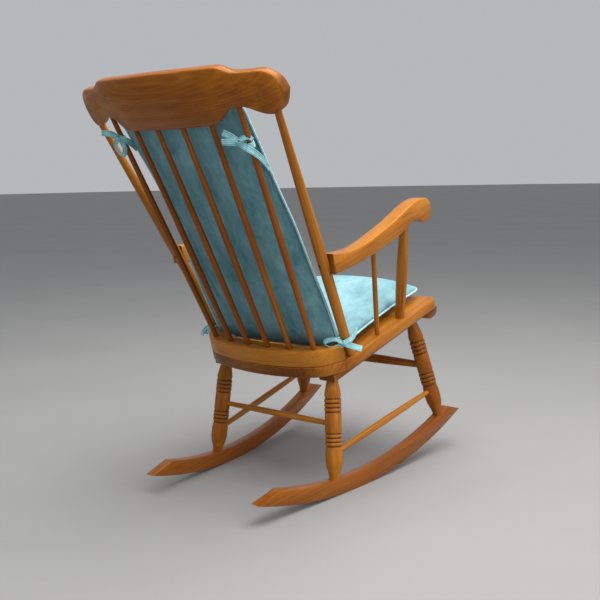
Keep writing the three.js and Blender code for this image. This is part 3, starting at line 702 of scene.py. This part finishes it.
def cloth_finish(name, cushions, normal, along, painted_light_share):
    """Brushed suede-like cloth: patches where the nap lies another way, streaks and a fine nap."""
    f = Finish(name)
    place = f.object_place()
    side = along.cross(normal).normalized()
    turn = Matrix((along.normalized(), side, normal)).transposed().to_euler()
    flat = f.vector("ShaderNodeMapping", {"vector_type": "TEXTURE"}, {
        "Vector": place, "Rotation": turn})
    patches = f.cloud(f.stretched(flat, (9, 14, 11)), 1.0, 5.0, 0.68, 0.4)
    strokes = f.cloud(f.stretched(flat, (30, 75, 50)), 1.0, 4.0, 0.6, 0.5)
    nap = f.cloud(place, 1500.0, 2.0, 0.6)
    weave = f.cloud(f.stretched(flat, (330, 520, 420)), 1.0, 2.0, 0.5)
    # painted light: a share that pushes the whole cushion towards the light nap colour, for a cushion
    # that faces the light
    share = f.ease(patches * 0.5 + strokes * 0.3 + nap * 0.25 + painted_light_share, 0.24, 0.90)
    colour = f.blend(share, cushions.deep, cushions.light)
    # painted shade: the cloth darkens along the piped seam and in the lower panel's folds
    seam_and_fold_shade = f.number("ShaderNodeAttribute", {"attribute_name": "seam"}, None, "Fac")
    colour = f.blend(seam_and_fold_shade * 0.42, colour, tuple(c * 0.45 for c in cushions.deep))
    height = nap * 0.35 + weave * 0.4 + strokes * 0.9 + patches * 1.2
    roughness = 0.97 - share * 0.12
    return f.finish(colour, roughness, height, 0.9 * MM, sheen_weight=0.10, sheen_roughness=0.45,
                    specular_ior_level=0.25)


def piping_finish(cushions):
    """The same cloth wrapped tight over a cord, in the light nap colour with paler patches."""
    f = Finish("piping")
    place = f.object_place()
    pale_patches = f.cloud(place, 60.0, 4.0, 0.6)
    fibre = f.cloud(place, 1400.0, 2.0, 0.6)
    pale = tuple(min(1.0, c * 1.32 + 0.03) for c in cushions.light)
    colour = f.blend(f.ease(pale_patches * 0.8 + fibre * 0.2, 0.3, 0.7), cushions.light, pale)
    return f.finish(colour, 0.92 - pale_patches * 0.1, fibre + pale_patches, 0.4 * MM, sheen_weight=0.3,
                    sheen_roughness=0.4, specular_ior_level=0.25)


def tube_tree():
    """A round cord along a closed line."""
    tree, nodes, given = new_tree("Piping", Radius="Float", Step="Float", Material="Material")
    line = nodes.add("GeometryNodeMeshToCurve", None, {0: given.outputs["Geometry"]})
    even = nodes.add("GeometryNodeResampleCurve", {"mode": "LENGTH"}, {
        "Curve": line.outputs[0], "Length": given.outputs["Step"]})
    ring = nodes.add("GeometryNodeCurvePrimitiveCircle", {"mode": "RADIUS"}, {
        "Resolution": 8, "Radius": given.outputs["Radius"]})
    tube = nodes.add("GeometryNodeCurveToMesh", None, {
        "Curve": even.outputs[0], "Profile Curve": ring.outputs[0], "Fill Caps": True})
    smooth = nodes.add("GeometryNodeSetShadeSmooth", None, {0: tube.outputs[0], "Shade Smooth": True})
    real = nodes.add("GeometryNodeRealizeInstances", None, {0: smooth.outputs[0]})
    painted = nodes.add("GeometryNodeSetMaterial", None, {
        0: real.outputs[0], "Material": given.outputs["Material"]})
    nodes.add("NodeGroupOutput", None, {0: painted.outputs[0]})
    return tree


def apply_tree(thing, tree, inputs):
    """Runs a Geometry Nodes tree on an object and leaves its result as a plain mesh."""
    modifier = thing.modifiers.new(tree.name, "NODES")
    modifier.node_group = tree
    for name, value in inputs.items():
        set_input(modifier, name, value)
    bpy.context.view_layer.update()
    bake(thing, modifier)


def wire_object(name, points, edges):
    """An object of bare edges, which a Geometry Nodes tree then makes solid."""
    thing = mesh_object(name, points, [])
    thing.data.edges.add(len(edges))
    for k, pair in enumerate(edges):
        thing.data.edges[k].vertices = pair
    thing.data.update()
    return thing


def outward(thing):
    """Turns every face of a closed mesh outwards."""
    work = bmesh.new()
    work.from_mesh(thing.data)
    bmesh.ops.remove_doubles(work, verts=work.verts, dist=1e-6)
    bmesh.ops.recalc_face_normals(work, faces=work.faces)
    work.to_mesh(thing.data)
    work.free()
    thing.data.update()


def make_cushion(name, pad, matrix, limits, ripple, seed, folds=(), painted_light_share=0.0):
    """Swells a pad, dresses it and pipes its seam."""
    cushions = bpy.context.scene.chair_cushions
    points = swell(pad, limits[0], limits[1], cushions)
    points = soften(pad, points, seed, ripple, folds)
    normal = (matrix.to_3x3() @ UP).normalized()
    along = (matrix.to_3x3() @ Vector((0, 1, 0))).normalized()
    cloth = cloth_finish(f"cloth of {name}", cushions, normal, along, painted_light_share)
    placed = [matrix @ Vector(p) for p in points]
    thing = mesh_object(f"{name}_cover", placed, pad.faces, [cloth])
    # The seam attribute carries painted shade along the seam and in the folds.
    seam = thing.data.attributes.new("seam", "FLOAT", "POINT")
    rim = points[pad.seam]
    away = np.array([np.sqrt(((rim - p) ** 2).sum(1)).min() for p in points])
    seam_and_fold_shade = np.exp(-away / 0.006)
    for line, _, width in folds:
        gaps = np.array([distance_to(line, p) for p in points])
        lower = points[:, 2] < np.array([pad.seam_at(y) for y in points[:, 1]])
        seam_and_fold_shade = np.maximum(seam_and_fold_shade, np.exp(-((gaps / (width * 0.8)) ** 2)) * lower)
    seam.data.foreach_set("value", seam_and_fold_shade.astype(np.float32))
    subdivide(thing)
    outward(thing)

    loop = [matrix @ Vector(points[k]) for k in pad.seam]
    count = len(loop)
    cord = wire_object(f"{name}_piping", loop, [(k, (k + 1) % count) for k in range(count)])
    tree = bpy.data.node_groups.get("Piping") or tube_tree()
    material = bpy.data.materials.get("piping") or piping_finish(cushions)
    apply_tree(cord, tree, {"Radius": cushions.piping, "Step": 5 * MM, "Material": material})
    outward(cord)
    for piece in (thing, cord):
        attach(piece, "root")
    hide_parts(name)


class SeatCushion(bpy.types.Operator):
    """Makes the seat cushion: two crowned panels meeting at one piped seam"""

    bl_idname = "chair.seat_cushion"
    bl_label = "Seat Cushion"

    def execute(self, context):
        cushions = context.scene.chair_cushions
        back, normal = seat_axes(cushions.seat_tilt)
        thickness = 70 * MM
        centre = middle_of("seat_cushion") - normal * (thickness / 2)
        basis = Matrix((ACROSS, back, normal)).transposed().to_4x4()
        matrix = Matrix.Translation(centre) @ basis
        half_l, half_w, pull, seam = 188 * MM, 203 * MM, 9 * MM, 26 * MM
        pad = Pad(half_l, 22 * MM, 49 * MM, 30 * MM, cushions.cell,
                  lambda y: half_w - pull * (1 - (y / half_l) ** 2),
                  lambda y: seam,
                  lambda x, y: 1.2 * MM)
        # The seat cushion is painted paler than the back cushion: painted light for its top, which faces
        # the light.
        make_cushion("seat_cushion", pad, matrix, (10 * MM, 10 * MM), 3.2 * MM, 5.0, painted_light_share=0.13)
        return {"FINISHED"}


class BackCushion(bpy.types.Operator):
    """Makes the back cushion: two crowned panels meeting at one piped seam, nearer the sticks above"""

    bl_idname = "chair.back_cushion"
    bl_label = "Back Cushion"

    def execute(self, context):
        cushions = context.scene.chair_cushions
        lean = cushions.back_lean
        up = Vector((0, math.sin(lean), math.cos(lean)))
        ahead = Vector((0, -math.cos(lean), math.sin(lean)))
        basis = Matrix((up.cross(ahead), up, ahead)).transposed().to_4x4()
        matrix = Matrix.Translation(middle_of("back_cushion")) @ basis
        stick_row = 86 * MM  # from the row of sticks to the cushion's middle plane
        curve = 700 * MM

        def width_at(y):
            low = math.exp(-(((y + 0.235) / 0.13) ** 2))
            waist = math.exp(-(((y - 0.14) / 0.10) ** 2))
            return (203 + 9 * low - 6 * waist) * MM

        def seam_at(y):
            up = min(1.0, max(0.0, (y + 0.01) / 0.33))
            return (-12 - 31 * up ** 1.5) * MM

        def free(x, y):
            """The lower panel stays clear of the sticks, whose row is curved."""
            return curve - math.sqrt(curve * curve - x * x) + 11 * MM - stick_row

        line = [(0.158, 0.150), (0.152, 0.050), (0.139, -0.010), (0.134, -0.100), (0.123, -0.200)]
        folds = [(line, 9 * MM, 8 * MM)]
        pad = Pad(353 * MM, 34 * MM, 38 * MM, 30 * MM, cushions.cell, width_at, seam_at, free)
        make_cushion("back_cushion", pad, matrix, (8 * MM, 7 * MM), 3.0 * MM, 9.0, folds)
        return {"FINISHED"}


# ---------------------------------------------------------------- ribbons
def smooth_line(points, step):
    """Points evenly spaced on a smooth curve through the given ones."""
    knots = [points[0] * 2 - points[1], *points, points[-1] * 2 - points[-2]]
    dense = []
    for a, b, c, d in zip(knots, knots[1:], knots[2:], knots[3:]):
        for n in range(12):
            t = n / 12
            dense.append(0.5 * ((2 * b) + (c - a) * t + (2 * a - 5 * b + 4 * c - d) * t * t
                                + (3 * b - a - 3 * c + d) * t ** 3))
    dense.append(points[-1])
    out, carried = [dense[0]], 0.0
    for a, b in zip(dense, dense[1:]):
        length = (b - a).length
        while carried + length >= step:
            share = (step - carried) / length
            a = a.lerp(b, share)
            out.append(a)
            length = (b - a).length
            carried = 0.0
        carried += length
    if (out[-1] - dense[-1]).length > step * 0.3:
        out.append(dense[-1])
    return out


class Strip:
    """A flat ribbon along a line, its face turned towards the given directions."""

    STEP = 3.2 * MM
    COLUMNS = 6
    SEAM_AT = 0.80  # where the stitches run, as a share of the half width

    def __init__(self, points, facing, width, thickness, closed=False, taper=1.0, curl=0.0):
        line = smooth_line(points, self.STEP)
        if closed:
            line = line[:-1]
        count = len(line)
        self.length = sum((b - a).length for a, b in zip(line, line[1:]))
        self.rows, self.edges = [], ([], [])
        self.closed = closed
        for k, p in enumerate(line):
            before = line[k - 1] if k or closed else p
            after = line[(k + 1) % count] if k < count - 1 or closed else p
            way = (after - before).normalized()
            t = k / max(1, count - 1)
            spot = t * (len(facing) - 1)
            low = min(int(spot), len(facing) - 2) if len(facing) > 1 else 0
            face = facing[0] if len(facing) == 1 else facing[low].lerp(facing[low + 1], spot - low)
            face = (face - way * face.dot(way)).normalized()
            across = way.cross(face)
            wide = width * (1 + (taper - 1) * t) / 2
            row = []
            for c in range(self.COLUMNS + 1):
                s = 2 * c / self.COLUMNS - 1
                thin = thickness / 2 * (1 - 0.55 * abs(s) ** 4)
                bow = curl * (s * s - 0.4)
                spread = p + across * wide * s
                row.append((spread + face * (thin + bow), spread + face * (bow - thin)))
            self.rows.append(row)
            for n, s in ((0, -self.SEAM_AT), (1, self.SEAM_AT)):
                bow = curl * (s * s - 0.4)
                place = p + across * wide * s + face * (thickness * 0.46 + bow)
                self.edges[n].append((place, face))

    def add_to(self, points, faces, across):
        start = len(points)
        wide = len(self.rows[0])
        across += [2 * c / (wide - 1) - 1 for c in range(wide)] * 2 * len(self.rows)
        for row in self.rows:
            points.extend(top for top, _ in row)
            points.extend(bottom for _, bottom in row)
        count = len(self.rows)
        for k in range(count if self.closed else count - 1):
            one, two = start + k * 2 * wide, start + (k + 1) % count * 2 * wide
            for c in range(wide - 1):
                faces.append([one + c, one + c + 1, two + c + 1, two + c])
                faces.append([one + wide + c + 1, one + wide + c, two + wide + c, two + wide + c + 1])
            faces.append([one + wide, one, two, two + wide])
            faces.append([one + wide - 1, one + 2 * wide - 1, two + 2 * wide - 1, two + wide - 1])
        if not self.closed:
            for base, flip in ((start, False), (start + (count - 1) * 2 * wide, True)):
                for c in range(wide - 1):
                    face = [base + c, base + c + 1, base + wide + c + 1, base + wide + c]
                    faces.append(face if flip else face[::-1])


def ribbon_finish(ribbons):
    """Woven ribbon: a fine twill, slightly uneven in colour."""
    f = Finish("ribbon")
    place = f.object_place()
    x, y, z = f.split(place)
    twill = ((x + y * 0.6 + z) * (2 * math.pi / 0.0013)).sine() * 0.5 + 0.5
    fibre = f.cloud(place, 1300.0, 2.0, 0.6)
    tone = f.cloud(place, 45.0, 4.0, 0.6)
    deep = tuple(c * 0.60 for c in ribbons.colour)
    pale = tuple(min(1.0, c * 1.22 + 0.02) for c in ribbons.colour)
    colour = f.blend(f.ease(tone * 0.8 + fibre * 0.25, 0.3, 0.75), deep, pale)
    colour = f.blend(twill * 0.16, colour, deep)
    across = f.number("ShaderNodeAttribute", {"attribute_name": "across"}, None, "Fac").size()
    # painted shade in the stitch channels and the middle fold of each ribbon
    seam = 1 - f.ease((across - 0.62).size(), 0.03, 0.14)
    fold = 1 - f.ease(across, 0.02, 0.16)
    colour = f.blend(seam * 0.55 + fold * 0.35, colour, tuple(c * 0.35 for c in ribbons.colour))
    return f.finish(colour, 0.9 - tone * 0.12, twill * 0.2 + fibre * 0.2 - seam - fold, 0.5 * MM,
                    sheen_weight=0.25, sheen_roughness=0.4, specular_ior_level=0.3)


def thread_finish(ribbons):
    f = Finish("thread")
    twist = f.cloud(f.object_place(), 2600.0, 2.0)
    deep = tuple(c * 0.42 for c in ribbons.colour)
    colour = f.blend(twist, deep, tuple(c * 0.75 for c in ribbons.colour))
    return f.finish(colour, 0.7 + twist * 0.1, twist, 0.1 * MM, specular_ior_level=0.35)


def stitch_tree():
    """Short threads set end to end along a line."""
    tree, nodes, given = new_tree("Stitches", Pitch="Float", Thread="Float", Material="Material")
    line = nodes.add("GeometryNodeMeshToCurve", None, {0: given.outputs["Geometry"]})
    spots = nodes.add("GeometryNodeCurveToPoints", {"mode": "LENGTH"}, {
        "Curve": line.outputs[0], "Length": given.outputs["Pitch"]})
    bead = nodes.add("GeometryNodeMeshUVSphere", None, {"Segments": 6, "Rings": 4, "Radius": 1.0})
    length = nodes.add("ShaderNodeMath", {"operation": "MULTIPLY"}, {
        0: given.outputs["Pitch"], 1: 0.36})
    shape = nodes.add("ShaderNodeCombineXYZ", None, {
        0: given.outputs["Thread"], 1: given.outputs["Thread"], 2: length.outputs[0]})
    placed = nodes.add("GeometryNodeInstanceOnPoints", None, {
        "Points": spots.outputs["Points"], "Instance": bead.outputs["Mesh"],
        "Rotation": spots.outputs["Rotation"], "Scale": shape.outputs[0]})
    real = nodes.add("GeometryNodeRealizeInstances", None, {0: placed.outputs[0]})
    smooth = nodes.add("GeometryNodeSetShadeSmooth", None, {0: real.outputs[0], "Shade Smooth": True})
    painted = nodes.add("GeometryNodeSetMaterial", None, {
        0: smooth.outputs[0], "Material": given.outputs["Material"]})
    nodes.add("NodeGroupOutput", None, {0: painted.outputs[0]})
    return tree


def ring_points(centre, axis, start, radius, count=9):
    """Points once round an axis, from a starting direction, and the ways out of it."""
    axis = axis.normalized()
    first = (start - axis * start.dot(axis)).normalized()
    second = axis.cross(first)
    places, faces = [], []
    for k in range(count + 1):
        angle = 2 * math.pi * k / count
        out = first * math.cos(angle) + second * math.sin(angle)
        places.append(centre + out * radius)
        faces.append(out)
    return places, faces


def make_tie(node, part, z, radius, knot_at, strands):
    """A ribbon round a stick with its knot and loose ends.

    knot_at is the knot's offset in millimetres from the stick's axis at height z. Each strand is a
    list of such offsets, with the ways its face looks, how far it narrows and how much it curls."""
    ribbons = bpy.context.scene.chair_ribbons
    width, thick = ribbons.width, ribbons.thickness
    low, high = ends_of(part)
    centre = at_height(part, z)
    axis = (high - low).normalized()
    knot = centre + Vector(knot_at) * MM
    knot_out = Vector(knot_at).normalized()
    over = axis.cross(knot_out).normalized()
    # the turn round the stick, then the knot's two wraps: middle, axis, radius, width, thickness, curl
    rings = (
        (centre, axis + knot_out * 0.12, radius + thick * 0.8, width * 0.95, thick, 0.0),
        (knot + knot_out * 1.5 * MM, over + axis * 0.35, 5.2 * MM, width * 0.72, thick * 1.3, -0.8 * MM),
        (knot, axis * 0.8 + over * 0.5, 4.4 * MM, width * 0.66, thick * 1.3, -0.6 * MM),
    )
    strips = []
    for middle, way, reach, wide, deep, curl in rings:
        places, faces = ring_points(middle, way, knot_out, reach)
        strips.append(Strip(places, faces, wide, deep, closed=True, curl=curl))
    for line, facing, taper, curl in strands:
        spots = [knot] + [centre + Vector(p) * MM for p in line]
        looks = [Vector(v).normalized() for v in facing]
        strips.append(Strip(spots, looks, width, thick, taper=taper, curl=curl * MM))
    points, faces, across = [], [], []
    for strip in strips:
        strip.add_to(points, faces, across)
    material = bpy.data.materials.get("ribbon") or ribbon_finish(ribbons)
    thing = mesh_object(f"{node}_ribbon", points, faces, [material])
    thing.data.attributes.new("across", "FLOAT", "POINT").data.foreach_set("value", across)
    outward(thing)
    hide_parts(node)
    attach(thing, "root")

    spots, edges = [], []
    for strip in strips[len(rings):]:
        for line in strip.edges:
            for side in (1, -1):
                first = len(spots)
                for place, face in line:
                    spots.append(place if side > 0 else place - face * thick * 0.92)
                edges += [(k, k + 1) for k in range(first, len(spots) - 1)]
    thread = wire_object(f"{node}_stitches", spots, edges)
    tree = bpy.data.node_groups.get("Stitches") or stitch_tree()
    material = bpy.data.materials.get("thread") or thread_finish(ribbons)
    apply_tree(thread, tree, {"Pitch": ribbons.stitch, "Thread": 0.34 * MM, "Material": material})
    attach(thread, "root")


class Ties(bpy.types.Operator):
    """Ties the four ribbons: two at the top of the back and two at the rear of the seat"""

    bl_idname = "chair.ties"
    bl_label = "Ties"

    def execute(self, context):
        back = (-0.5, 0.8, -0.2)
        out = (-0.2, 1, 0.2)
        make_tie("tie_back_right", "back_spindle_1", 0.8948, 7.6 * MM, (13, 24, 5), [
            ([(26, 31, 15), (46, 40, 27)], [out, back], 1.0, 1.2),
            ([(27, 34, 5), (48, 42, 6)], [out, (-0.3, 0.9, -0.5)], 1.0, -1.0),
            ([(4, 16, -5), (-10, 4, -16), (-9, -26, -31), (3, -66, -54)],
             [(-0.3, 1, 0.3), (-0.6, 0.8, 0.2), (-0.8, 0.5, 0.2), (-0.9, 0.2, 0.2)], 0.8, 0.8),
            ([(6, 24, 12), (-4, 12, 16), (-10, 4, 10)], [(0, 1, 0.4), (-0.4, 0.8, 0.4), (-1, 0.2, 0)],
             0.6, 0.4),
        ])
        make_tie("tie_back_left", "back_spindle_6", 0.9198, 7.6 * MM, (0, 15, 4), [
            ([(17, 24, 14), (36, 36, 17)], [out, back], 0.9, 1.6),
            ([(4, 20, -14), (-4, 17, -34), (-14, 12, -38), (-16, 9, -22), (-6, 12, -4)],
             [out, (0, 1, -0.3), (0, 0.6, -1), (-0.4, 1, 0), (-0.2, 1, 0)], 0.7, 0.4),
            ([(-12, 4, -2), (-11, -18, -10), (-5, -42, -22)],
             [(-0.6, 0.8, 0.2), (-0.9, 0.3, 0), (-0.8, 0.4, 0)], 1.0, 0.6),
        ])
        make_tie("tie_seat_right", "back_post_right", 0.4058, 13.4 * MM, (-8, 20, -5), [
            ([(10, 33, 6), (28, 45, 2), (32, 49, -7), (18, 41, -16), (2, 28, -12), (-6, 22, -8)],
             [(0, 0.5, 1), (0, 0.6, 0.9), (0.5, 0.9, 0), (0, 0.5, -1), (0, 0.8, -0.6), out], 0.8, 0.3),
            ([(-24, 10, -12), (-46, -4, -19)], [(-0.5, 0.8, 0.5), (-0.7, 0.5, 0.6)], 1.05, 1.2),
            ([(-19, 8, 4), (-22, -8, 16), (-16, -28, 30)],
             [(-0.5, 0.8, 0.2), (-0.8, 0.4, 0.2), (-0.8, 0.2, 0.2)], 0.4, 0.3),
        ])
        make_tie("tie_seat_left", "back_post_left", 0.4058, 13.4 * MM, (6, 20, -2), [
            ([(12, 36, -8), (20, 46, -28)], [(0.2, 1, 0.3), (0.3, 1, 0.2)], 1.0, 1.2),
            ([(3, 34, -6), (6, 44, -24)], [(0.2, 1, 0.3), (0.1, 1, 0.4)], 1.0, -1.0),
            ([(18, 8, 4), (21, -8, 16), (14, -28, 30)],
             [(0.5, 0.8, 0.2), (0.8, 0.4, 0.2), (0.8, 0.2, 0.2)], 0.4, 0.3),
        ])
        return {"FINISHED"}


# ---------------------------------------------------------------- studio
def floor_finish(studio):
    """Pale smooth floor with a faint unevenness."""
    f = Finish("floor")
    tone = f.cloud(f.object_place(), 1.6, 4.0, 0.6)
    fine = f.cloud(f.object_place(), 60.0, 3.0, 0.6)
    darker = tuple(c * 0.94 for c in studio.floor)
    colour = f.blend(f.ease(tone * 0.8 + fine * 0.2, 0.3, 0.7), darker, studio.floor)
    return f.finish(colour, 0.8 + fine * 0.1, fine, 0.1 * MM, specular_ior_level=0.25)


def soft_light(name, place, target, size, power, colour):
    data = bpy.data.lights.new(name, "AREA")
    data.shape = "RECTANGLE"
    data.size, data.size_y = size
    data.energy = power
    data.color = colour
    lamp = bpy.data.objects.new(name, data)
    lamp.location = place
    lamp.rotation_euler = (target - place).to_track_quat("-Z", "Y").to_euler()
    bpy.context.scene.collection.objects.link(lamp)


class Studio(bpy.types.Operator):
    """Sets the floor, the lights and the camera"""

    bl_idname = "chair.studio"
    bl_label = "Studio"

    def execute(self, context):
        scene = context.scene
        studio = scene.chair_studio
        reach, steps = 40.0, 48
        ring = [(reach * math.cos(2 * math.pi * k / steps), reach * math.sin(2 * math.pi * k / steps), 0)
                for k in range(steps)]
        floor = mesh_object("floor", ring, [list(range(steps))], [floor_finish(studio)])

        world = bpy.data.worlds.new("Sky")
        scene.world = world
        world.use_nodes = True
        sky = world.node_tree.nodes["Background"]
        sky.inputs["Color"].default_value = (0.93, 0.96, 1.0, 1)
        sky.inputs["Strength"].default_value = studio.sky
        centre = (CAD_LOW + CAD_HIGH) / 2
        soft_light("key light", centre + Vector((-0.7, 0.2, 2.7)), centre, (3.0, 3.0), studio.key,
                   (1.0, 0.985, 0.96))
        soft_light("side light", centre + Vector((-3.2, 0.3, 1.2)), centre, (2.2, 2.2),
                   studio.key * 0.30, (1.0, 0.99, 0.97))

        back = Vector((math.sin(studio.yaw) * math.cos(studio.pitch),
                       -math.cos(studio.yaw) * math.cos(studio.pitch), math.sin(studio.pitch)))
        right = UP.cross(back).normalized()
        above = back.cross(right)
        c, s = math.cos(studio.roll), math.sin(studio.roll)
        turn = Matrix((right * c + above * s, above * c - right * s, back)).transposed()
        data = bpy.data.cameras.new("camera")
        data.lens = studio.focal
        data.sensor_width = 36.0
        camera = bpy.data.objects.new("camera", data)
        camera.matrix_world = Matrix.Translation(studio.eye) @ turn.to_4x4()
        scene.collection.objects.link(camera)
        scene.camera = camera
        scene.view_settings.view_transform = "Standard"
        return {"FINISHED"}


# ---------------------------------------------------------------- panel and registration
PIECES = (Studio, BaseWood, SeatWood, BackWood, ArmWood, SeatCushion, BackCushion, Ties)


class ChairPanel(bpy.types.Panel):
    """Settings and pieces of the rocking chair"""

    bl_idname = "VIEW3D_PT_rocking_chair"
    bl_label = "Rocking Chair"
    bl_space_type = "VIEW_3D"
    bl_region_type = "UI"
    bl_category = "Rocking Chair"

    def draw(self, context):
        for name, group in GROUPS.items():
            box = self.layout.box()
            box.label(text=group.__doc__)
            for key in group.__annotations__:
                box.prop(getattr(context.scene, name), key)
        for piece in PIECES:
            self.layout.operator(piece.bl_idname)


CLASSES = (*GROUPS.values(), *PIECES, ChairPanel)


def register():
    for item in CLASSES:
        bpy.utils.register_class(item)
    for name, group in GROUPS.items():
        setattr(bpy.types.Scene, name, PointerProperty(type=group))


def unregister():
    for name in GROUPS:
        delattr(bpy.types.Scene, name)
    for item in reversed(CLASSES):
        bpy.utils.unregister_class(item)


def main():
    register()
    for piece in PIECES:
        group, name = piece.bl_idname.split(".")
        getattr(getattr(bpy.ops, group), name)()


if __name__ == "__main__":
    main()
